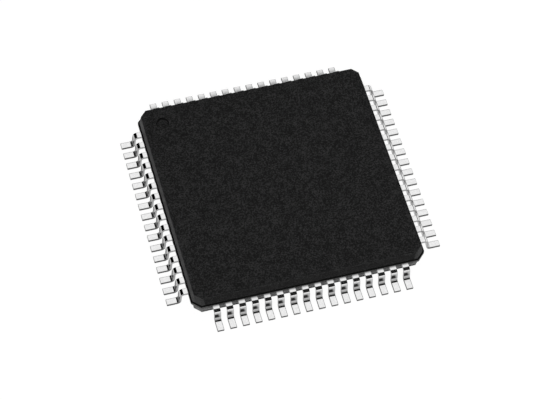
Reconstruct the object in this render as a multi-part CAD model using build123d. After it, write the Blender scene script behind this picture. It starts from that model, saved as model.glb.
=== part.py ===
from build123d import *
import os
from math import radians, sqrt, tan

# Quad flat pack chip, in millimetres. The origin is on the surface that the feet stand on, under
# the middle of the body. +Z is up, and the front row of leads is on the -Y side.
# Pins count anticlockwise from above, from the dimple corner at -X +Y down the left side.

# Lead rows
LEADS_PER_SIDE = 16
LEAD_PITCH = 0.65
ROW_END_MARGIN = 1.15       # from the last lead's middle line to the side of the body
LEADS_PER_GROUP = 4

# Moulded body
STANDOFF = 0.10             # air under the body
LOWER_HEIGHT = 0.575        # from the underside to the parting plane, which the leads lie on
UPPER_HEIGHT = 0.725        # from the parting plane to the top face
LIP_OVERHANG = 0.08         # the lip is all that the upper half stands out past the lower one
LIP_THICKNESS = 0.165
DRAFT_ANGLE = 9.5
CORNER_CHAMFER = 0.42
DIMPLE_DIAMETER = 0.70
DIMPLE_DEPTH = 0.08
DIMPLE_INSET = 1.155        # from the sides of the body to the middle of the dimple

# Leads, cut from sheet and bent twice
SHEET_THICKNESS = 0.11
LEAD_WIDTH = 0.34
LEAD_REACH = 1.075          # from the lip to the toe
FOOT_LENGTH = 0.615
LEG_LEAN = 4.5              # of the leg from upright, in degrees
BEND_RADIUS = 0.12          # on the inside of each bend
FAN_START = 0.375           # straight run inside the body before the leads fan in
TIP_WIDTH = 0.18
TIP_CORNER_GAP = 0.80       # from the last tip in a row to the corner of the ring of tips

# Die pad and its tie bars, of the same sheet
PAD_MARGIN = 0.80           # pad that shows round the die
PAD_TO_TIP_GAP = 0.45
PAD_DOWNSET = 0.18
DOWNSET_RUN = 0.25
TIE_BAR_WIDTH = 0.25
TIE_BAR_STUB = 0.20         # level run of a tie bar beside the pad
TIE_BAR_COVER = 0.15        # compound over the outer end of a tie bar

# Silicon die and the layer that holds it
DIE_WIDTH = 4.2
DIE_THICKNESS = 0.30
ATTACH_THICKNESS = 0.025

# Bond wires
WIRE_DIAMETER = 0.03
LOOP_HEIGHT = 0.15          # above the die
BOND_INSET = 0.12           # from the edge of the die
BOND_CORNER_GAP = 0.18      # from the last bond in a row to the corner of the ring of bonds
STITCH_LENGTH = 0.16        # the wire's flattened end, where it lies on the finger
STITCH_INSET = 0.10         # from the tip of the finger to the stitch

# Sizes that follow from these
ROW_LENGTH = (LEADS_PER_SIDE - 1) * LEAD_PITCH
BODY_WIDTH = ROW_LENGTH + 2 * ROW_END_MARGIN
MOULD_WIDTH = BODY_WIDTH - 2 * LIP_OVERHANG
PARTING_HEIGHT = STANDOFF + LOWER_HEIGHT
SHEET_TOP = PARTING_HEIGHT + SHEET_THICKNESS
BODY_TOP = PARTING_HEIGHT + UPPER_HEIGHT
DRAFT_RISE = UPPER_HEIGHT - LIP_THICKNESS

TOE = BODY_WIDTH / 2 + LEAD_REACH
HEEL = TOE - FOOT_LENGTH
LEG_DROP = SHEET_TOP - SHEET_THICKNESS
KNEE = HEEL - LEG_DROP * tan(radians(LEG_LEAN))
HALF_BEND = radians(90 - LEG_LEAN) / 2
BEND_OFFSET = SHEET_THICKNESS * tan(HALF_BEND)
FAN_OUTER = MOULD_WIDTH / 2 - FAN_START

PAD_WIDTH = DIE_WIDTH + 2 * PAD_MARGIN
PAD_TOP = SHEET_TOP - PAD_DOWNSET
TIP_RING = PAD_WIDTH / 2 + PAD_TO_TIP_GAP
TIP_PITCH = 2 * (TIP_RING - TIP_CORNER_GAP) / (LEADS_PER_SIDE - 1)
DIE_BOTTOM = PAD_TOP + ATTACH_THICKNESS
DIE_TOP = DIE_BOTTOM + DIE_THICKNESS
BOND_RING = DIE_WIDTH / 2 - BOND_INSET
BOND_PITCH = 2 * (BOND_RING - BOND_CORNER_GAP) / (LEADS_PER_SIDE - 1)

PIN_COUNT = 4 * LEADS_PER_SIDE


def along_row(place, pitch):
    """Distance of a lead, tip or bond from the middle of its row; place 0 is the lowest pin."""
    return (place - (LEADS_PER_SIDE - 1) / 2) * pitch


def body_outline(width):
    """Square of the given width with chamfered corners."""
    return chamfer(Rectangle(width, width).vertices(), CORNER_CHAMFER)


def solid_body():
    """The moulded body before the pieces inside it are taken out."""
    lower = extrude(body_outline(MOULD_WIDTH), -LOWER_HEIGHT, taper=DRAFT_ANGLE)
    lip = extrude(body_outline(BODY_WIDTH), LIP_THICKNESS)
    upper = extrude(body_outline(MOULD_WIDTH), DRAFT_RISE, taper=DRAFT_ANGLE)
    body = Pos(Z=PARTING_HEIGHT) * (lower + lip + Pos(Z=LIP_THICKNESS) * upper)
    dimple_place = BODY_WIDTH / 2 - DIMPLE_INSET
    dimple = extrude(Circle(DIMPLE_DIAMETER / 2), -DIMPLE_DEPTH)
    return body - Pos(-dimple_place, dimple_place, BODY_TOP) * dimple


def wing_profile():
    """Side view of a lead outside the body. The inside of each bend is a flat, not an arc."""
    knee_outside = (-KNEE, SHEET_TOP)
    knee_inside = (BEND_OFFSET - KNEE, PARTING_HEIGHT)
    heel_inside = (-HEEL, SHEET_THICKNESS)
    heel_outside = (BEND_OFFSET - HEEL, 0)
    profile = Polygon(
        (-FAN_OUTER, SHEET_TOP),
        knee_outside,
        heel_inside,
        (-TOE, SHEET_THICKNESS),
        (-TOE, 0),
        heel_outside,
        knee_inside,
        (-FAN_OUTER, PARTING_HEIGHT),
        align=None,
    )
    for corner in (knee_outside, heel_outside):
        profile = fillet(vertex_at(profile, corner), BEND_RADIUS + SHEET_THICKNESS)
    for corner in (knee_inside, heel_inside):
        profile = chamfer(vertex_at(profile, corner), BEND_RADIUS * tan(HALF_BEND))
    return profile


def vertex_at(sketch, place):
    """The corner of a sketch nearest to a place."""
    return sketch.vertices().sort_by_distance(place)[0]


def lead(place):
    """A lead of the front row: the gull wing, and the finger that runs in towards the die."""
    wing = extrude(Plane.YZ * wing_profile(), LEAD_WIDTH / 2, both=True)
    root = along_row(place, LEAD_PITCH)
    tip = along_row(place, TIP_PITCH)
    finger_plan = Polygon(
        (root - LEAD_WIDTH / 2, -FAN_OUTER),
        (root + LEAD_WIDTH / 2, -FAN_OUTER),
        (tip + TIP_WIDTH / 2, -TIP_RING),
        (tip - TIP_WIDTH / 2, -TIP_RING),
        align=None,
    )
    finger = Pos(Z=PARTING_HEIGHT) * extrude(finger_plan, SHEET_THICKNESS)
    return Pos(X=root) * wing + finger


def bond_wire(place):
    """The wire of a lead of the front row: up from the die and over, down onto the finger."""
    bond = Vector(along_row(place, BOND_PITCH), -BOND_RING)
    tip = Vector(along_row(place, TIP_PITCH), -TIP_RING)
    root = Vector(along_row(place, LEAD_PITCH), -FAN_OUTER)
    stitch_share = (STITCH_INSET + STITCH_LENGTH / 2) / (FAN_OUTER - TIP_RING)
    span = tip + (root - tip) * stitch_share - bond
    crest = DIE_TOP + LOOP_HEIGHT
    side_view = Polygon(
        (-WIRE_DIAMETER / 2, DIE_TOP),
        (WIRE_DIAMETER / 2, DIE_TOP),
        (WIRE_DIAMETER / 2, crest - WIRE_DIAMETER),
        (span.length - STITCH_LENGTH / 2, SHEET_TOP),
        (span.length + STITCH_LENGTH / 2, SHEET_TOP),
        (-WIRE_DIAMETER / 2, crest),
        align=None,
    )
    upright = Plane(origin=bond, x_dir=span, z_dir=span.cross(Vector(0, 0, 1)))
    return extrude(upright * side_view, WIRE_DIAMETER / 2, both=True)


def on_all_sides(maker):
    """What maker makes for each place of the front row, copied to all four sides in pin order."""
    front_row = [maker(place).solid() for place in range(LEADS_PER_SIDE)]
    return [Rot(Z=90 * side - 90) * piece for side in range(4) for piece in front_row]


def die_pad():
    """The plate under the die with its four tie bars, one piece of the lead sheet."""
    corner = PAD_WIDTH / sqrt(2)
    bar_end = (MOULD_WIDTH - CORNER_CHAMFER) / sqrt(2) - TIE_BAR_COVER
    sheet_middle = PARTING_HEIGHT + SHEET_THICKNESS / 2
    bar_line = Polyline(
        (corner - TIE_BAR_WIDTH, sheet_middle - PAD_DOWNSET),
        (corner + TIE_BAR_STUB, sheet_middle - PAD_DOWNSET),
        (corner + TIE_BAR_STUB + DOWNSET_RUN, sheet_middle),
        (bar_end, sheet_middle),
    )
    bar_profile = Plane.XZ * trace(bar_line, SHEET_THICKNESS)
    bar = extrude(bar_profile, TIE_BAR_WIDTH / 2, both=True)
    pad = Pos(Z=PAD_TOP) * extrude(Rectangle(PAD_WIDTH, PAD_WIDTH), -SHEET_THICKNESS)
    for quarter in range(4):
        pad += Rot(Z=45 + 90 * quarter) * bar
    return pad


def square_plate(width, bottom, thickness):
    """A square plate about the middle of the body."""
    return Pos(Z=bottom) * extrude(Rectangle(width, width), thickness)


def grouped(name, solids):
    """Neighbouring pieces under one node name for each group of pins."""
    nodes = {}
    for first in range(0, PIN_COUNT, LEADS_PER_GROUP):
        group = solids[first:first + LEADS_PER_GROUP]
        nodes[f"{name}_{first + 1:02d}_to_{first + len(group):02d}"] = Compound(children=group)
    return nodes


def build():
    """Every piece of the chip by its node name."""
    leads = on_all_sides(lead)
    wires = on_all_sides(bond_wire)
    pad = die_pad().solid()
    attach = square_plate(DIE_WIDTH, PAD_TOP, ATTACH_THICKNESS).solid()
    die = square_plate(DIE_WIDTH, DIE_BOTTOM, DIE_THICKNESS).solid()
    body = solid_body() - [*leads, *wires, pad, attach, die]
    nodes = {"moulded_body": body, "die_pad": pad, "die_attach": attach, "silicon_die": die}
    nodes.update(grouped("leads", leads))
    nodes.update(grouped("bond_wires", wires))
    return nodes


os.makedirs("parts", exist_ok=True)
for node_name, shape in build().items():
    export_step(shape, f"parts/{node_name}.step")
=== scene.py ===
from math import cos, pi, radians, sin, tan

import bpy
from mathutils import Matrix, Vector


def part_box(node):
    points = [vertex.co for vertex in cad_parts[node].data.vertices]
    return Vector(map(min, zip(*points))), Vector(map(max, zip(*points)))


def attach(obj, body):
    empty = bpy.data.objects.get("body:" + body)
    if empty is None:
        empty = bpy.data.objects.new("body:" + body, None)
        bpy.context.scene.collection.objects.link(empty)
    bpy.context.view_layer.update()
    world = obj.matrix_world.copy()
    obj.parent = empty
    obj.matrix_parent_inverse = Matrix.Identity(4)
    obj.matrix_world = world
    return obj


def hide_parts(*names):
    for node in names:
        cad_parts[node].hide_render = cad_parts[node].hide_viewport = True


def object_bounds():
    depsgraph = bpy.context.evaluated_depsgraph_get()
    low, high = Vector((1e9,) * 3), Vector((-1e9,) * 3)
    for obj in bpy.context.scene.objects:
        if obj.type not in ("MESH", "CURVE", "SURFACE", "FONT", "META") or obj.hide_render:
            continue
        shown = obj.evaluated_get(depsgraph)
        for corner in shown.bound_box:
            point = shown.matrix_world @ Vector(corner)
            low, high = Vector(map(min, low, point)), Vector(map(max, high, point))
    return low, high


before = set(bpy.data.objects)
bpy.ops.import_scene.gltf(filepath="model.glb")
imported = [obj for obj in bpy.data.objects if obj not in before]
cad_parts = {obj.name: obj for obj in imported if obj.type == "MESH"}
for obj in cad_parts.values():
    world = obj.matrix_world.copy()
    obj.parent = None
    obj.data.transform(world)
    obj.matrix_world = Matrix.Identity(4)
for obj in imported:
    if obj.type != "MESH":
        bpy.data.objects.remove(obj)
CAD_LOW, CAD_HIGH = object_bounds()
BODY_LOW, BODY_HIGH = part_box("moulded_body")

bl_info = {
    "name": "Quad flat pack chip",
    "version": (1, 0, 0),
    "blender": (4, 5, 0),
    "location": "3D View > Sidebar > Chip",
    "description": "Moulded body, tinned leads and photographic stage of a 64 lead quad flat pack",
    "category": "Mesh",
}

# Lengths are in metres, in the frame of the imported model: +Z up, feet on z = 0, front row on -Y.
MM = 0.001
UP = Vector((0, 0, 1))
LEADS_PER_SIDE = 16
LEADS_PER_GROUP = 4
SIDES = 4                   # left, front, right and back, counted from 0
FRONT_SIDE = 1
ROUNDING_ROOM = 0.002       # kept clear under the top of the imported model, in millimetres

# Modelling
FACING = 0.99               # cosine past which a face or an edge counts as facing a way
HAIR = 0.01 * MM            # room for error when faces and edges are picked by their place
WELD = 0.0001 * MM          # points this close are made one
BEND_STEPS = 8              # faces along each bend of a lead
DIMPLE_STEPS = 48           # faces round the dimple
UNDERSIDE_SHARE = 0.94      # of the underside's width that is inside its flat frame
UNDERSIDE_WELD = 0.10 * MM  # makes one point of each rounded corner inside that frame

# Shades of the moulding compound: its grain, and the painted shade and painted light on its walls,
# ledge and dimple
PATCH_SHARE = 0.23          # of soft patches in its grain
DEEP_SHADE = 0.1            # of its colour: painted shade on the lip's ledge and in the ring of the dimple
WALL_SHADE = 0.4            # share of that painted shade on all walls
PALE_UNDER_LIP = 0.58       # shares of the painted light colour, floor light painted on the walls, from here on
PALE_LIP_FOOT = 0.42
PALE_LIP_TOP = 0.24
PALE_LEFT_WALL = 0.26
PALE_FACETS = 0.16
PALE_PAST_FRONT = 0.35      # of the shares under and on the lip, on all sides but the front

# Painted shade, shadow and dark reflection on the tin plate, and the roughness of its sheared faces
PAINTED_CONTACT_SHADE = 0.82         # share of the painted shade colour: contact shade on the foot's sides; the next two are painted shade in the heel and painted shadow at the front row's roots
HEEL_SHADE = 0.55
ROOT_SHADOW = 0.95
MARK_HEIGHT = 0.45          # of the middle of the painted dark reflection on the leg, in millimetres
MARK_SLANT = 0.25           # how far the mark moves sideways for each step up
SHEARED_ROUGHNESS = 0.22    # added to that of the rolled faces

# Grain of the inner pieces
DARK_GRAIN = 0.8            # colour of the darker grains, times the base colour
PALE_GRAIN_ROUGHNESS = 1.3  # roughness of the paler grains, times that of the darker ones

# Stage
FLOOR_SIZE = 1.2
FLOOR_DROP = 0.002 * MM     # below the feet
GLOW_STARTS = 4.8 * MM      # from the middle of the floor, where its glow fades in
GLOW_IS_FULL = 5.7 * MM     # nearer than this the floor is clear to the underside's light
CARD_DISTANCE = 95 * MM
CARD_STEPS = 64
FELT = (0.004, 0.004, 0.004)
# Each card's way from the chip, its radius, the share of the radius that is dense, and how dense
CARDS = {
    "card_above": ((0.17, -0.34, 0.925), 76 * MM, 0.95, 0.98),
    "card_front": ((0.17, -0.82, 0.55), 20 * MM, 0.85, 0.98),
    "card_left": ((-0.595, 0.53, 0.56), 63 * MM, 0.95, 1.0),
    "card_right": ((0.67, 0.53, 0.52), 22 * MM, 0.40, 0.95),
    "card_behind": ((0.17, 0.905, 0.39), 50 * MM, 0.80, 0.98),
}
# Place on the board that the camera looks at
PICTURE_MIDDLE = Vector((0.00985, -0.31749, 0)) * MM
SENSOR_WIDTH = 36           # in millimetres
NEAREST_SEEN = 1 * MM
FURTHEST_SEEN = 10


def length(name, description, millimetres):
    """A size of the chip that a user can change."""
    return bpy.props.FloatProperty(
        name=name,
        description=description,
        default=millimetres * MM,
        min=0.0,
        unit="LENGTH",
        subtype="DISTANCE",
        precision=5,
    )


def colour(name, description, value):
    """A colour of the chip or its stage that a user can change, scene linear."""
    return bpy.props.FloatVectorProperty(
        name=name,
        description=description,
        default=value,
        size=3,
        min=0.0,
        max=1.0,
        subtype="COLOR",
    )


def amount(name, description, value, largest=1.0):
    """A number without a unit that a user can change."""
    return bpy.props.FloatProperty(
        name=name,
        description=description,
        default=value,
        min=0.0,
        max=largest,
        subtype="FACTOR",
    )


def angle(name, description, degrees):
    """An angle that a user can change."""
    return bpy.props.FloatProperty(
        name=name,
        description=description,
        default=radians(degrees),
        subtype="ANGLE",
        unit="ROTATION",
    )


class BodySizes(bpy.types.PropertyGroup):
    """Sizes of the moulded body."""

    width: length("Width over the lip", "Side of the square body", (BODY_HIGH.x - BODY_LOW.x) / MM)
    top: length("Top height", "Top face above the board", BODY_HIGH.z / MM - ROUNDING_ROOM)
    underside: length("Standoff", "Air between the underside and the board", BODY_LOW.z / MM)
    parting: length("Parting height", "Parting plane above the board", 0.675)
    lip_overhang: length("Lip overhang", "How far the lip stands out", 0.08)
    lip_thickness: length("Lip thickness", "Height of the lip", 0.165)
    draft: angle("Draft", "Lean of the moulded sides", 9.5)
    corner_chamfer: length("Corner chamfer", "Cut across each corner", 0.42)
    corner_round: length("Corner rounding", "Softening of the chamfer's two edges", 0.045)
    edge_round: length("Edge rounding", "Softening of every other edge", 0.022)
    dimple_width: length("Dimple width", "Across the pin one dimple", 0.70)
    dimple_depth: length("Dimple depth", "Below the top face", 0.08)
    dimple_inset: length("Dimple inset", "From the sides to the dimple's middle", 1.155)


class LeadSizes(bpy.types.PropertyGroup):
    """Sizes of the gull-wing leads."""

    pitch: length("Pitch", "Between neighbouring leads", 0.65)
    width: length("Width", "Width of a lead", 0.34)
    sheet: length("Sheet", "Thickness of the sheet", 0.11)
    foot: length("Foot", "Length of the foot", 0.615)
    lean: angle("Leg lean", "Of the leg from upright", 4.5)
    knee_radius: length("Knee radius", "On the inside of the upper bend", 0.11)
    heel_radius: length("Heel radius", "On the inside of the lower bend", 0.12)
    fan_start: length("Fan start", "From the body's middle to where the fingers fan in", 5.57)
    tip_ring: length("Tip ring", "From the body's middle to the finger tips", 3.35)
    tip_pitch: length("Tip pitch", "Between neighbouring finger tips", 0.34)
    tip_width: length("Tip width", "Width of a finger tip", 0.18)
    edge_round: length("Edge rounding", "Softening of the sheared edges", 0.009)


class Finishes(bpy.types.PropertyGroup):
    """Colours of the chip."""

    compound: colour("Moulding compound", "Black filled epoxy", (0.0143, 0.0143, 0.0144))
    compound_fleck: colour("Compound fleck", "Paler grains of filler", (0.0615, 0.0615, 0.0620))
    # Painted light: a paler colour that stands in for the floor's light on the walls, mostly low on
    # the sides
    painted_wall_light: colour("Compound walls", "Paler skin low on the sides", (0.36, 0.36, 0.36))
    tin: colour("Tin plate", "Satin tin on the leads", (0.89, 0.89, 0.89))
    tin_grain: colour("Tin grain", "Darker grains of the plating", (0.80, 0.80, 0.80))
    sheared: colour("Sheared edge", "Sides and ends of a lead", (0.62, 0.62, 0.62))
    # Painted shade: a dark colour that stands in for shade, shadow and dark reflection on the leads
    painted_shade: colour("Tarnish", "Mark on the leg of each lead", (0.02, 0.02, 0.02))
    copper: colour("Copper alloy", "Die pad and tie bars", (0.72, 0.42, 0.28))
    silver_epoxy: colour("Silver epoxy", "Layer under the die", (0.62, 0.62, 0.60))
    silicon: colour("Silicon", "The die", (0.28, 0.29, 0.33))
    gold: colour("Gold", "The bond wires", (0.85, 0.66, 0.28))


class StageSettings(bpy.types.PropertyGroup):
    """Light, floor and camera."""

    sky: amount("Sky", "Brightness of the soft light all round", 1.0, largest=4.0)
    floor: colour("Floor", "Colour of the floor", (0.15, 0.15, 0.15))
    floor_glow: amount("Floor glow", "Lifts the floor to the background's white", 0.96, largest=4.0)
    floor_in_tin: amount("Floor in the tin", "Share of that glow that the tin mirrors", 0.59)
    azimuth: angle("Azimuth", "Camera round the chip from the front", -18.07946)
    elevation: angle("Elevation", "Camera above the board", 56.2066)
    roll: angle("Roll", "Camera about its own axis", 3.16511)
    distance: length("Distance", "Camera to the middle of the picture", 118.10173)
    lens: bpy.props.FloatProperty(
        name="Lens",
        description="Focal length in millimetres",
        default=148.4434,
        subtype="NONE",
    )


def begin():
    """Leaves edit mode and deselects everything, so that an operator acts on its own piece only."""
    if bpy.context.object and bpy.context.object.mode != "OBJECT":
        bpy.ops.object.mode_set(mode="OBJECT")
    bpy.ops.object.select_all(action="DESELECT")


def pick(piece, kind, wanted):
    """Selects a piece's faces or edges that wanted accepts, and stays in edit mode."""
    bpy.ops.object.mode_set(mode="EDIT")
    bpy.ops.mesh.select_mode(type=kind)
    bpy.ops.mesh.select_all(action="DESELECT")
    bpy.ops.object.mode_set(mode="OBJECT")
    elements = piece.data.polygons if kind == "FACE" else piece.data.edges
    found = 0
    for element in elements:
        element.select = bool(wanted(element))
        found += element.select
    bpy.ops.object.mode_set(mode="EDIT")
    if not found:
        raise RuntimeError(f"{piece.name}: no {kind.lower()} to work on")


def pick_faces(piece, wanted):
    """Selects the faces that wanted(centre, normal) accepts, and stays in edit mode."""
    pick(piece, "FACE", lambda face: wanted(face.center, face.normal))


def pick_edges(piece, wanted):
    """Selects the edges that wanted(one end, other end) accepts, and stays in edit mode."""
    def ends(edge):
        return [piece.data.vertices[end].co for end in edge.vertices]

    pick(piece, "EDGE", lambda edge: wanted(*ends(edge)))


def draw_out(way):
    """Extrudes the picked faces by a way."""
    bpy.ops.mesh.extrude_region_move(TRANSFORM_OT_translate={"value": way})


def add_block(name, middle, size):
    """A block at its size and place, with its object at the origin."""
    begin()
    bpy.ops.mesh.primitive_cube_add(size=1, location=middle, scale=size)
    block = bpy.context.object
    block.name = name
    block.data.name = name
    bpy.ops.object.transform_apply(location=True, rotation=True, scale=True)
    return block


def soften_edges(piece, width, segments, sharper_than):
    """Rounds every edge sharper than an angle, and keeps the flats flat."""
    begin()
    piece.select_set(True)
    bpy.context.view_layer.objects.active = piece
    bevel = piece.modifiers.new("Soft edges", "BEVEL")
    bevel.width = width
    bevel.segments = segments
    bevel.limit_method = "ANGLE"
    bevel.angle_limit = sharper_than
    bevel.harden_normals = True
    bpy.ops.object.shade_smooth()
    bpy.ops.object.modifier_apply(modifier=bevel.name)


def dress(piece, material):
    """Gives a new piece its one material."""
    piece.data.materials.clear()
    piece.data.materials.append(material)


def closed(piece):
    """True where every edge of a mesh has two faces."""
    uses = {}
    for face in piece.data.polygons:
        for key in face.edge_keys:
            uses[key] = uses.get(key, 0) + 1
    return all(count == 2 for count in uses.values())


def stand_in(piece, slot, *nodes):
    """Puts a finished piece in the place of its CAD nodes."""
    if not closed(piece):
        raise RuntimeError(f"{piece.name} has an open or doubled wall")
    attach(piece, "root")
    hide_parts(*nodes)


class Finish:
    """A node material, built up from the surface shader backwards."""

    def __init__(self, name, metallic=0.0, roughness=0.5, ior=1.45):
        self.material = bpy.data.materials.new(name)
        self.material.use_nodes = True
        self.nodes = self.material.node_tree.nodes
        self.links = self.material.node_tree.links
        self.shader = self.nodes["Principled BSDF"]
        self.shader.inputs["Metallic"].default_value = metallic
        self.shader.inputs["Roughness"].default_value = roughness
        self.shader.inputs["IOR"].default_value = ior

    def add(self, kind, **settings):
        """A node, with its own settings."""
        node = self.nodes.new(kind)
        for key, value in settings.items():
            setattr(node, key, value)
        return node

    def feed(self, socket, value):
        """Links a socket, or sets its number."""
        if isinstance(value, bpy.types.NodeSocket):
            self.links.new(value, socket)
        elif isinstance(value, (tuple, list)) and socket.type == "RGBA" and len(value) == 3:
            socket.default_value = (*value, 1.0)
        else:
            socket.default_value = value

    def place(self):
        """Object coordinates, in metres."""
        return self.add("ShaderNodeTexCoord").outputs["Object"]

    def split(self, vector):
        """The three parts of a vector."""
        node = self.add("ShaderNodeSeparateXYZ")
        self.feed(node.inputs[0], vector)
        return node.outputs

    def measure(self, operation, vector, other=(0.0, 0.0, 0.0)):
        """A vector's LENGTH, or its DISTANCE from another."""
        node = self.add("ShaderNodeVectorMath", operation=operation)
        self.feed(node.inputs[0], vector)
        self.feed(node.inputs[1], other)
        return node.outputs["Value"]

    def noise(self, place, size, detail=2.0):
        """Soft noise whose patches are about size metres across."""
        node = self.add("ShaderNodeTexNoise")
        self.feed(node.inputs["Vector"], place)
        node.inputs["Scale"].default_value = 1.0 / size
        node.inputs["Detail"].default_value = detail
        return node.outputs["Fac"]

    def fade(self, value, start, end, low=0.0, high=1.0):
        """Low up to start, high past end, smooth between."""
        node = self.add("ShaderNodeMapRange", interpolation_type="SMOOTHSTEP")
        self.feed(node.inputs["Value"], value)
        limits = {"From Min": start, "From Max": end, "To Min": low, "To Max": high}
        for name, number in limits.items():
            node.inputs[name].default_value = number
        return node.outputs["Result"]

    def work_out(self, operation, first, *others):
        """One operation of arithmetic, from left to right over all the values."""
        result = first
        for other in others or (0.0,):
            node = self.add("ShaderNodeMath", operation=operation)
            self.feed(node.inputs[0], result)
            self.feed(node.inputs[1], other)
            result = node.outputs[0]
        return result

    def blend(self, share, low, high):
        """Colour low at share 0 and high at share 1."""
        node = self.add("ShaderNodeMix", data_type="RGBA")
        self.feed(node.inputs[0], share)
        self.feed(node.inputs[6], low)
        self.feed(node.inputs[7], high)
        return node.outputs[2]

    def relief(self, height, depth):
        """Bumps up to depth metres high."""
        node = self.add("ShaderNodeBump")
        node.inputs["Strength"].default_value = 1.0
        node.inputs["Distance"].default_value = depth
        self.feed(node.inputs["Height"], height)
        self.links.new(node.outputs["Normal"], self.shader.inputs["Normal"])

    def paint(self, base, roughness):
        """Feeds the base colour and the roughness, and hands over the material."""
        self.feed(self.shader.inputs["Base Color"], base)
        self.feed(self.shader.inputs["Roughness"], roughness)
        return self.material

    def surface(self, kind, *values):
        """A plain shader of some kind, with its first inputs fed."""
        node = self.add(kind)
        for socket, value in zip(node.inputs, values):
            self.feed(socket, value)
        return node.outputs[0]


def moulding_compound(finishes, sizes):
    """Black filled epoxy with the fine grain of an eroded mould, and painted shade and painted
    light on its walls, ledge and dimple.
    """
    finish = Finish("moulding_compound", ior=1.22)
    place = finish.place()
    fine = finish.noise(place, size=0.065 * MM, detail=1.0)
    patch = finish.noise(place, size=0.50 * MM, detail=1.0)
    grain = finish.work_out("ADD", fine, finish.work_out("MULTIPLY", patch, PATCH_SHARE))
    fleck = finish.fade(grain, start=0.47, end=0.88)
    base = finish.blend(fleck, tuple(finishes.compound), tuple(finishes.compound_fleck))
    deep = tuple(DEEP_SHADE * part for part in finishes.compound)

    wall, facet = body_walls(finish, place, sizes)
    off_ledge = clear_of_ledge(finish, place, sizes)
    # Painted shade on all walls
    base = finish.blend(finish.work_out("MULTIPLY", wall, WALL_SHADE), base, deep)
    # Painted light from the floor on the walls, kept off the lip's ledge
    painted_light = finish.work_out("MULTIPLY", wall, painted_wall_light_share(finish, place, facet, sizes), off_ledge)
    base = finish.blend(painted_light, base, tuple(finishes.painted_wall_light))
    # Painted shade on the lip's ledge
    ledge = finish.work_out("MULTIPLY", wall, finish.work_out("SUBTRACT", 1.0, off_ledge))
    base = finish.blend(ledge, base, deep)
    # Painted shade in the ring of the dimple
    base = finish.blend(dimple_ring_shade(finish, place, sizes), base, deep)

    finish.relief(fine, depth=0.004 * MM)
    return finish.paint(base, finish.fade(grain, start=0.45, end=0.90, low=0.62, high=0.46))


def body_walls(finish, place, sizes):
    """Two masks: the body's walls, and the part of them that is corner facets."""
    east, north, height = finish.split(place)
    off_east = finish.work_out("ABSOLUTE", east)
    off_north = finish.work_out("ABSOLUTE", north)
    lip_side = sizes.width / 2
    outward = finish.work_out("MAXIMUM", off_east, off_north)
    on_side = finish.fade(outward, start=lip_side - 0.165 * MM, end=lip_side - 0.145 * MM)
    lip_facet = sizes.width - sizes.corner_chamfer
    diagonal = finish.work_out("ADD", off_east, off_north)
    on_facet = finish.fade(diagonal, start=lip_facet - 0.33 * MM, end=lip_facet - 0.27 * MM)
    below_top = finish.fade(
        height, start=sizes.top - 0.06 * MM, end=sizes.top - 0.02 * MM, low=1.0, high=0.0
    )
    facet_below_top = finish.work_out("MULTIPLY", on_facet, below_top)
    return finish.work_out("MAXIMUM", on_side, facet_below_top), on_facet


def clear_of_ledge(finish, place, sizes):
    """Mask of all but the ledge on top of the lip and what is close to it; the ledge takes painted
    shade.
    """
    height = finish.split(place)[2]
    from_ledge = finish.work_out("SUBTRACT", height, sizes.parting + sizes.lip_thickness)
    return finish.fade(finish.work_out("ABSOLUTE", from_ledge), start=0.012 * MM, end=0.024 * MM)


def painted_wall_light_share(finish, place, facet, sizes):
    """Share of the painted light colour on the walls: floor light painted on them, most of it under
    the lip in front.
    """
    east, north, height = finish.split(place)
    side = sizes.width / 2
    parting = sizes.parting
    lip_top = parting + sizes.lip_thickness
    under_lip = finish.fade(
        height, start=parting - 0.01 * MM, end=parting, low=PALE_UNDER_LIP, high=0.0
    )
    on_lip = finish.fade(
        height, start=parting, end=lip_top - 0.02 * MM, low=PALE_LIP_FOOT, high=PALE_LIP_TOP
    )
    below_ledge = finish.fade(
        height, start=lip_top - 0.02 * MM, end=lip_top - 0.01 * MM, low=1.0, high=0.0
    )
    front_share = finish.fade(
        north, start=0.28 * MM - side, end=0.45 * MM - side, low=1.0, high=PALE_PAST_FRONT
    )
    low = finish.work_out("ADD", under_lip, on_lip)
    low = finish.work_out("MULTIPLY", low, below_ledge, front_share)
    left_wall = finish.fade(
        east, start=0.16 * MM - side, end=0.20 * MM - side, low=PALE_LEFT_WALL, high=0.0
    )
    high = finish.work_out("MAXIMUM", left_wall, finish.work_out("MULTIPLY", facet, PALE_FACETS))
    return finish.work_out("ADD", high, low)


def dimple_ring_shade(finish, place, sizes):
    """Mask of the painted shade round the foot of the dimple's wall, stronger on its far side."""
    north, height = finish.split(place)[1:]
    inset = sizes.width / 2 - sizes.dimple_inset
    radius = sizes.dimple_width / 2
    foot_middle = (-inset, inset, sizes.top - sizes.dimple_depth)
    reach = finish.measure("DISTANCE", place, foot_middle)
    inside = finish.fade(reach, start=radius - 0.10 * MM, end=radius - 0.05 * MM)
    outside = finish.fade(
        reach, start=radius + 0.03 * MM, end=radius + 0.04 * MM, low=1.0, high=0.0
    )
    sunk = finish.fade(
        height, start=sizes.top - 0.012 * MM, end=sizes.top - 0.004 * MM, low=1.0, high=0.0
    )
    shaded = finish.fade(
        north, start=inset - 0.15 * MM, end=inset + 0.15 * MM, low=0.2, high=1.0
    )
    return finish.work_out("MULTIPLY", inside, outside, sunk, shaded)


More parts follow.
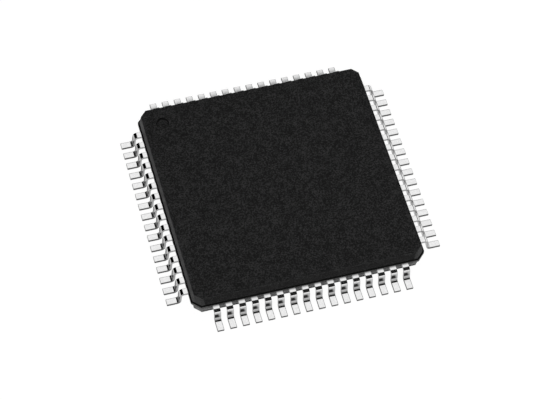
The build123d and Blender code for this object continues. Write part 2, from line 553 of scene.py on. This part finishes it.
def tin_plate(finishes, sizes, body):
    """Satin tin: bright rolled faces and duller sheared sides, with painted shade, shadow and dark
    reflection on the leads.
    """
    finish = Finish("tin_plate", metallic=1.0)
    place = finish.place()
    # The attribute holds the place on a lead in millimetres: across it, outward and up.
    lead_place = finish.add("ShaderNodeAttribute", attribute_name="lead_place").outputs["Vector"]
    # Dark colour of the painted shade, shadow and reflection
    painted_shade = tuple(finishes.painted_shade)
    grain = finish.noise(place, size=0.09 * MM)
    grained = finish.fade(grain, start=0.40, end=0.70)
    base = finish.blend(grained, tuple(finishes.tin_grain), tuple(finishes.tin))

    edge = sheared_faces(finish, lead_place, sizes)
    # Painted contact shade on the sheared faces of the foot
    contact_shade = painted_foot_contact_shade(finish, lead_place, sizes)
    base = finish.blend(edge, base, finish.blend(contact_shade, tuple(finishes.sheared), painted_shade))
    # Painted dark reflection on the legs and painted shade in the heels
    mark = painted_leg_reflection(finish, lead_place, sizes)
    crease = heel_crease_shade(finish, lead_place, sizes)
    base = finish.blend(finish.work_out("MAXIMUM", mark, crease), base, painted_shade)
    # Painted shadow of the lip on the roots of the front row
    base = finish.blend(front_root_shadow(finish, place, lead_place, body), base, painted_shade)

    rolled = finish.fade(grain, start=0.3, end=0.7, low=0.06, high=0.10)
    sheared = finish.work_out("MULTIPLY", edge, SHEARED_ROUGHNESS)
    return finish.paint(base, finish.work_out("ADD", rolled, sheared))


def sheared_faces(finish, lead_place, sizes):
    """Mask of the sides and the toe of a lead."""
    across, outward = finish.split(lead_place)[:2]
    half = sizes.width / 2 / MM
    toe = -CAD_LOW.y / MM
    off_middle = finish.work_out("ABSOLUTE", across)
    on_side = finish.fade(off_middle, start=half - 0.032, end=half - 0.014)
    on_toe = finish.fade(outward, start=toe - 0.018, end=toe - 0.008)
    return finish.work_out("MAXIMUM", on_side, on_toe)


def painted_foot_contact_shade(finish, lead_place, sizes):
    """Share of painted contact shade on the sheared faces of the foot, darkest next to the floor.
    """
    height = finish.split(lead_place)[2]
    sheet = sizes.sheet / MM
    return finish.fade(height, start=sheet - 0.03, end=sheet + 0.05, low=PAINTED_CONTACT_SHADE, high=0.0)


def painted_leg_reflection(finish, lead_place, sizes):
    """Mask of the slanted painted dark reflection on the outer face of a leg."""
    across, outward, height = finish.split(lead_place)
    half = sizes.width / 2 / MM
    heel = (-CAD_LOW.y - sizes.foot) / MM
    rise = finish.work_out("SUBTRACT", height, MARK_HEIGHT)
    slanted = finish.work_out("ADD", across, finish.work_out("MULTIPLY", rise, MARK_SLANT))
    sideways = finish.fade(slanted, start=0.0, end=0.16, low=1.0, high=0.0)
    off_mark = finish.work_out("ABSOLUTE", rise)
    upward = finish.fade(off_mark, start=0.08, end=0.20, low=1.0, high=0.0)
    on_leg = finish.fade(outward, start=heel - 0.135, end=heel - 0.105)
    off_middle = finish.work_out("ABSOLUTE", across)
    on_face = finish.fade(off_middle, start=half - 0.012, end=half - 0.004, low=1.0, high=0.0)
    return finish.work_out("MULTIPLY", sideways, upward, on_leg, on_face)


def heel_crease_shade(finish, lead_place, sizes):
    """Share of painted shade in the hollow of the heel, just above the foot."""
    outward, height = finish.split(lead_place)[1:]
    sheet = sizes.sheet / MM
    heel = (-CAD_LOW.y - sizes.foot) / MM
    above_foot = finish.fade(height, start=sheet + 0.01, end=sheet + 0.04)
    at_heel = finish.fade(outward, start=heel - 0.065, end=heel - 0.035)
    below_leg = finish.fade(height, start=sheet + 0.06, end=sheet + 0.13, low=HEEL_SHADE, high=0.0)
    return finish.work_out("MULTIPLY", above_foot, at_heel, below_leg)


def front_root_shadow(finish, place, lead_place, body):
    """Share of the painted shadow that the lip casts where the leads of the front row come out of
    the body.
    """
    north = finish.split(place)[1]
    outward = finish.split(lead_place)[1]
    lip = body.width / 2 / MM
    in_front = finish.fade(
        north, start=(0.025 - lip) * MM, end=(0.125 - lip) * MM, low=1.0, high=0.0
    )
    root = finish.fade(outward, start=lip - 0.035, end=lip + 0.145, low=ROOT_SHADOW, high=0.0)
    return finish.work_out("MULTIPLY", in_front, root)


def plain_metal(name, base_colour, grain_size, roughness, metallic=1.0):
    """Finish of a piece inside the body: one colour with its own grain."""
    finish = Finish(name, metallic=metallic)
    grain = finish.noise(finish.place(), grain_size)
    darker = tuple(DARK_GRAIN * part for part in base_colour)
    base = finish.blend(finish.fade(grain, start=0.3, end=0.7), darker, tuple(base_colour))
    roughest = roughness * PALE_GRAIN_ROUGHNESS
    return finish.paint(base, finish.fade(grain, start=0.3, end=0.7, low=roughness, high=roughest))


def white_floor(stage):
    """Matt floor with a glow that makes the background white.

    It is clear when seen from below, and clear to light that falls on the underside of the chip.
    """
    finish = Finish("white_floor")
    finish.nodes.remove(finish.shader)
    east, north = finish.split(finish.place())[:2]
    off_east = finish.work_out("ABSOLUTE", east)
    off_north = finish.work_out("ABSOLUTE", north)
    off_middle = finish.work_out("MAXIMUM", off_east, off_north)
    ray = finish.add("ShaderNodeLightPath").outputs
    in_tin = finish.work_out("MULTIPLY", ray["Is Glossy Ray"], stage.floor_in_tin)
    glow_seen = finish.work_out(
        "MAXIMUM", ray["Is Camera Ray"], in_tin, ray["Is Transmission Ray"]
    )
    strength = finish.fade(off_middle, GLOW_STARTS, GLOW_IS_FULL, high=stage.floor_glow)
    under_body = finish.work_out("LESS_THAN", off_middle, GLOW_IS_FULL)
    sky_from_below = finish.work_out("MULTIPLY", under_body, ray["Is Diffuse Ray"])
    from_below = finish.add("ShaderNodeNewGeometry").outputs["Backfacing"]
    see_through = finish.work_out("MAXIMUM", sky_from_below, from_below)

    paper = finish.surface("ShaderNodeBsdfDiffuse", tuple(stage.floor))
    unlit = finish.surface("ShaderNodeBsdfTransparent", (0.0, 0.0, 0.0))
    glow = finish.surface("ShaderNodeEmission", (1.0, 1.0, 1.0), strength)
    glow = finish.surface("ShaderNodeMixShader", glow_seen, unlit, glow)
    lit = finish.surface("ShaderNodeAddShader", paper, glow)
    clear = finish.surface("ShaderNodeBsdfTransparent", (1.0, 1.0, 1.0))
    one_sided = finish.surface("ShaderNodeMixShader", see_through, lit, clear)
    finish.feed(finish.nodes["Material Output"].inputs["Surface"], one_sided)
    return finish.material


def black_felt(radius, core, density):
    """Black felt, dense up to a share of the card's radius and clear at its rim."""
    finish = Finish("black_felt", ior=1.0)
    reach = finish.measure("LENGTH", finish.place())
    alpha = finish.fade(reach, start=core * radius, end=radius, low=density, high=0.0)
    finish.feed(finish.shader.inputs["Alpha"], alpha)
    return finish.paint(FELT, roughness=1.0)


class CHIP_OT_moulded_body(bpy.types.Operator):
    """Models the moulded body: lip, drafted halves, chamfered corners and pin one dimple"""

    bl_idname = "chip.moulded_body"
    bl_label = "Moulded body"

    def execute(self, context):
        sizes = context.scene.chip_body
        lip_middle = (0, 0, sizes.parting + sizes.lip_thickness / 2)
        body = add_block("black_body", lip_middle, (sizes.width, sizes.width, sizes.lip_thickness))
        self.cut_corners(body, sizes)
        self.draw_half(body, sizes, UP, sizes.top - sizes.parting - sizes.lip_thickness)
        self.draw_half(body, sizes, -UP, sizes.parting - sizes.underside)
        self.sink_dimple(body, sizes)
        self.frame_underside(body, sizes)
        soften_edges(body, sizes.edge_round, segments=3, sharper_than=radians(25))
        dress(body, moulding_compound(context.scene.chip_finishes, sizes))
        stand_in(body, "mould_compound", "moulded_body")
        body.visible_glossy = False
        return {"FINISHED"}

    def cut_corners(self, body, sizes):
        """Chamfers the four upright edges, then rounds what that leaves."""
        for offset, segments in ((sizes.corner_chamfer, 1), (sizes.corner_round, 3)):
            pick_edges(body, lambda first, last: abs((first - last).normalized().dot(UP)) > FACING)
            bpy.ops.mesh.bevel(offset=offset, segments=segments, affect="EDGES")
            bpy.ops.object.mode_set(mode="OBJECT")

    def draw_half(self, body, sizes, way, rise):
        """Steps in from the lip and draws the drafted half of the body out of the cap."""
        pick_faces(body, lambda centre, normal: normal.dot(way) > FACING)
        bpy.ops.mesh.inset(thickness=sizes.lip_overhang, depth=0)
        bpy.ops.mesh.inset(thickness=rise * tan(sizes.draft), depth=rise)
        bpy.ops.object.mode_set(mode="OBJECT")

    def sink_dimple(self, body, sizes):
        """Opens the top face, fills it again round a circle and sinks the circle with its floor."""
        inset = sizes.width / 2 - sizes.dimple_inset
        radius = sizes.dimple_width / 2
        middle = Vector((-inset, inset, sizes.top))
        pick_faces(
            body, lambda centre, normal: normal.z > FACING and centre.z > sizes.top - HAIR
        )
        bpy.ops.mesh.delete(type="ONLY_FACE")
        bpy.ops.mesh.primitive_circle_add(
            vertices=DIMPLE_STEPS, radius=radius, fill_type="NOTHING", location=middle
        )
        bpy.ops.mesh.select_mode(type="EDGE")
        bpy.ops.mesh.select_non_manifold(extend=True)
        bpy.ops.mesh.fill()
        bpy.ops.object.mode_set(mode="OBJECT")
        pick_edges(
            body, lambda *ends: all((end - middle).length < radius + HAIR for end in ends)
        )
        bpy.ops.mesh.extrude_edges_move(
            TRANSFORM_OT_translate={"value": (0, 0, -sizes.dimple_depth)}
        )
        bpy.ops.mesh.edge_face_add()
        bpy.ops.mesh.select_all(action="SELECT")
        bpy.ops.mesh.normals_make_consistent(inside=False)
        bpy.ops.object.mode_set(mode="OBJECT")

    def frame_underside(self, body, sizes):
        """Puts a flat frame round the underside, with one point at each corner of its inside."""
        pick_faces(
            body, lambda centre, normal: normal.z < -FACING and centre.z < sizes.underside + HAIR
        )
        draw_out((0, 0, 0))
        bpy.ops.transform.resize(value=(UNDERSIDE_SHARE, UNDERSIDE_SHARE, 1))
        bpy.ops.mesh.remove_doubles(threshold=UNDERSIDE_WELD)
        bpy.ops.object.mode_set(mode="OBJECT")


class CHIP_OT_tinned_leads(bpy.types.Operator):
    """Models one lead for each place of a row, copies it to all four sides and joins the groups"""

    bl_idname = "chip.tinned_leads"
    bl_label = "Tinned leads"

    def execute(self, context):
        sizes = context.scene.chip_leads
        body = context.scene.chip_body
        finish = tin_plate(context.scene.chip_finishes, sizes, body)
        row = [self.lead(place, sizes, body.parting) for place in range(LEADS_PER_SIDE)]
        for side in range(SIDES):
            for first in range(0, LEADS_PER_SIDE, LEADS_PER_GROUP):
                pin = side * LEADS_PER_SIDE + first + 1
                pins = f"{pin:02d}_to_{pin + LEADS_PER_GROUP - 1:02d}"
                group = self.group(row[first:first + LEADS_PER_GROUP], side)
                group.name = f"tinned_leads_{pins}"
                group.data.name = group.name
                dress(group, finish)
                stand_in(group, "tinned_leads", f"leads_{pins}")
                group.visible_glossy = side != FRONT_SIDE
        for piece in row:
            bpy.data.objects.remove(piece)
        return {"FINISHED"}

    def lead(self, place, sizes, parting):
        """A lead of the front row: the gull wing, and the finger inside the body."""
        from_middle = place - (LEADS_PER_SIDE - 1) / 2
        root = from_middle * sizes.pitch
        tip = from_middle * sizes.tip_pitch
        piece = self.gull_wing(root, sizes, parting)
        self.draw_finger(piece, tip - root, sizes)
        soften_edges(piece, sizes.edge_round, segments=2, sharper_than=radians(50))
        self.note_places(piece, root)
        return piece

    def gull_wing(self, root, sizes, parting):
        """Shoulder, knee, leg, heel and foot, drawn out of a block."""
        turn = pi / 2 - sizes.lean
        top = parting + sizes.sheet
        toe = -CAD_LOW.y
        heel = toe - sizes.foot
        knee = heel - parting * tan(sizes.lean)
        knee_outside = sizes.knee_radius + sizes.sheet
        knee_start = knee - knee_outside * tan(turn / 2)
        heel_end = heel + sizes.heel_radius * tan(turn / 2)
        leg = parting / cos(sizes.lean) - (knee_outside + sizes.heel_radius) * tan(turn / 2)

        middle = (root, -(sizes.fan_start + knee_start) / 2, top - sizes.sheet / 2)
        shoulder = (sizes.width, knee_start - sizes.fan_start, sizes.sheet)
        piece = add_block("lead", middle, shoulder)
        pick_faces(piece, lambda centre, normal: normal.y < -FACING)
        self.bend(-turn, (root, -knee_start, top - knee_outside))
        draw_out((0, -leg * sin(sizes.lean), -leg * cos(sizes.lean)))
        self.bend(turn, (root, -heel_end, sizes.sheet + sizes.heel_radius))
        draw_out((0, heel_end - toe, 0))
        bpy.ops.object.mode_set(mode="OBJECT")
        return piece

    def bend(self, turn, centre):
        """Spins the picked face about a line along X."""
        bpy.ops.mesh.spin(steps=BEND_STEPS, angle=turn, axis=(1, 0, 0), center=centre)

    def draw_finger(self, piece, aside, sizes):
        """Draws the inner end of the lead in towards the die, and narrows it to its tip."""
        pick_faces(piece, lambda centre, normal: centre.y > -sizes.fan_start - HAIR)
        draw_out((aside, sizes.fan_start - sizes.tip_ring, 0))
        bpy.ops.transform.resize(value=(sizes.tip_width / sizes.width, 1, 1))
        bpy.ops.mesh.select_all(action="SELECT")
        bpy.ops.mesh.remove_doubles(threshold=WELD)
        bpy.ops.mesh.normals_make_consistent(inside=False)
        bpy.ops.object.mode_set(mode="OBJECT")

    def note_places(self, piece, root):
        """Keeps each point's place on its lead: across, outward and up, in millimetres."""
        lead_place = piece.data.attributes.new("lead_place", "FLOAT_VECTOR", "POINT")
        for point, vertex in zip(lead_place.data, piece.data.vertices):
            point.vector = ((vertex.co.x - root) / MM, -vertex.co.y / MM, vertex.co.z / MM)

    def group(self, leads, side):
        """Neighbouring leads copied to a side and joined."""
        copies = [self.copy(piece, side) for piece in leads]
        begin()
        for piece in copies:
            piece.select_set(True)
        bpy.context.view_layer.objects.active = copies[0]
        bpy.ops.object.join()
        return bpy.context.object

    def copy(self, piece, side):
        """A copy with its own mesh, turned to a side: left, front, right or back."""
        begin()
        twin = piece.copy()
        twin.data = piece.data.copy()
        bpy.context.collection.objects.link(twin)
        twin.select_set(True)
        bpy.context.view_layer.objects.active = twin
        twin.rotation_euler.z = radians(360 / SIDES * (side - FRONT_SIDE))
        bpy.ops.object.transform_apply(location=False, rotation=True, scale=False)
        return twin


class CHIP_OT_inner_pieces(bpy.types.Operator):
    """Gives the pieces inside the body their finishes"""

    bl_idname = "chip.inner_pieces"
    bl_label = "Inner pieces"

    def execute(self, context):
        finishes = context.scene.chip_finishes
        copper = plain_metal("copper_alloy", finishes.copper, grain_size=0.2 * MM, roughness=0.32)
        epoxy = plain_metal(
            "silver_epoxy",
            finishes.silver_epoxy,
            grain_size=0.08 * MM,
            roughness=0.45,
            metallic=0.6,
        )
        silicon = plain_metal(
            "silicon",
            finishes.silicon,
            grain_size=0.4 * MM,
            roughness=0.12,
            metallic=0.7,
        )
        gold = plain_metal("gold_wire", finishes.gold, grain_size=0.05 * MM, roughness=0.2)
        self.give("die_pad", copper)
        self.give("die_attach", epoxy)
        self.give("silicon_die", silicon)
        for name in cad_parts:
            if name.startswith("bond_wires"):
                self.give(name, gold)
        return {"FINISHED"}

    def give(self, name, material):
        """Puts a finish on a carried-over node."""
        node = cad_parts[name]
        if not node.material_slots:
            raise RuntimeError(f"{name} has no material slot")
        for slot in node.material_slots:
            slot.material = material
        node.visible_glossy = False


class CHIP_OT_stage(bpy.types.Operator):
    """Sets the floor, the soft light with its black cards, and the camera"""

    bl_idname = "chip.stage"
    bl_label = "Stage"

    def execute(self, context):
        stage = context.scene.chip_stage
        self.light_sky(context.scene, stage)
        self.lay_floor(stage)
        for name, (direction, radius, core, density) in CARDS.items():
            self.hang_card(name, Vector(direction).normalized(), radius, core, density)
        self.set_camera(context.scene, stage)
        context.scene.view_settings.view_transform = "Standard"
        return {"FINISHED"}

    def light_sky(self, scene, stage):
        """Even white light from all round."""
        world = bpy.data.worlds.new("soft_sky")
        world.use_nodes = True
        sky = world.node_tree.nodes["Background"]
        sky.inputs["Color"].default_value = (1, 1, 1, 1)
        sky.inputs["Strength"].default_value = stage.sky
        scene.world = world

    def lay_floor(self, stage):
        """A wide floor just under the feet."""
        begin()
        bpy.ops.mesh.primitive_plane_add(size=FLOOR_SIZE, location=(0, 0, -FLOOR_DROP))
        floor = bpy.context.object
        floor.name = "floor"
        dress(floor, white_floor(stage))

    def hang_card(self, name, way, radius, core, density):
        """A round black card that faces the chip, and that the camera doesn't see."""
        begin()
        bpy.ops.mesh.primitive_circle_add(
            vertices=CARD_STEPS,
            radius=radius,
            fill_type="NGON",
            location=way * CARD_DISTANCE,
            rotation=way.to_track_quat("Z", "Y").to_euler(),
        )
        card = bpy.context.object
        card.name = name
        dress(card, black_felt(radius, core, density))
        card.visible_camera = False

    def set_camera(self, scene, stage):
        """The camera of the photograph."""
        data = bpy.data.cameras.new("camera")
        camera = bpy.data.objects.new("camera", data)
        scene.collection.objects.link(camera)
        data.lens = stage.lens
        data.sensor_width = SENSOR_WIDTH
        data.clip_start = NEAREST_SEEN
        data.clip_end = FURTHEST_SEEN
        back = Vector((
            sin(stage.azimuth) * cos(stage.elevation),
            -cos(stage.azimuth) * cos(stage.elevation),
            sin(stage.elevation),
        ))
        camera.location = PICTURE_MIDDLE + back * stage.distance
        turned = (-back).to_track_quat("-Z", "Y").to_matrix()
        right, up = turned.col[0].copy(), turned.col[1].copy()
        turned.col[0] = cos(stage.roll) * right + sin(stage.roll) * up
        turned.col[1] = -sin(stage.roll) * right + cos(stage.roll) * up
        camera.rotation_euler = turned.to_euler()
        scene.camera = camera


class CHIP_PT_panel(bpy.types.Panel):
    """Lists the pieces of the chip and their sizes"""

    bl_idname = "CHIP_PT_panel"
    bl_label = "Quad flat pack chip"
    bl_space_type = "VIEW_3D"
    bl_region_type = "UI"
    bl_category = "Chip"

    def draw(self, context):
        layout = self.layout
        for step in STEPS:
            layout.operator(step.bl_idname)
        for name, group in SETTINGS.items():
            box = layout.box()
            for setting in group.__annotations__:
                box.prop(getattr(context.scene, name), setting)


SETTINGS = {
    "chip_body": BodySizes,
    "chip_leads": LeadSizes,
    "chip_finishes": Finishes,
    "chip_stage": StageSettings,
}
STEPS = (CHIP_OT_moulded_body, CHIP_OT_tinned_leads, CHIP_OT_inner_pieces, CHIP_OT_stage)


def register():
    for name, group in SETTINGS.items():
        bpy.utils.register_class(group)
        setattr(bpy.types.Scene, name, bpy.props.PointerProperty(type=group))
    for step in STEPS:
        bpy.utils.register_class(step)
    bpy.utils.register_class(CHIP_PT_panel)


def unregister():
    bpy.utils.unregister_class(CHIP_PT_panel)
    for step in reversed(STEPS):
        bpy.utils.unregister_class(step)
    for name, group in SETTINGS.items():
        delattr(bpy.types.Scene, name)
        bpy.utils.unregister_class(group)


def main():
    register()
    bpy.ops.chip.moulded_body()
    bpy.ops.chip.tinned_leads()
    bpy.ops.chip.inner_pieces()
    bpy.ops.chip.stage()


if __name__ == "__main__":
    main()
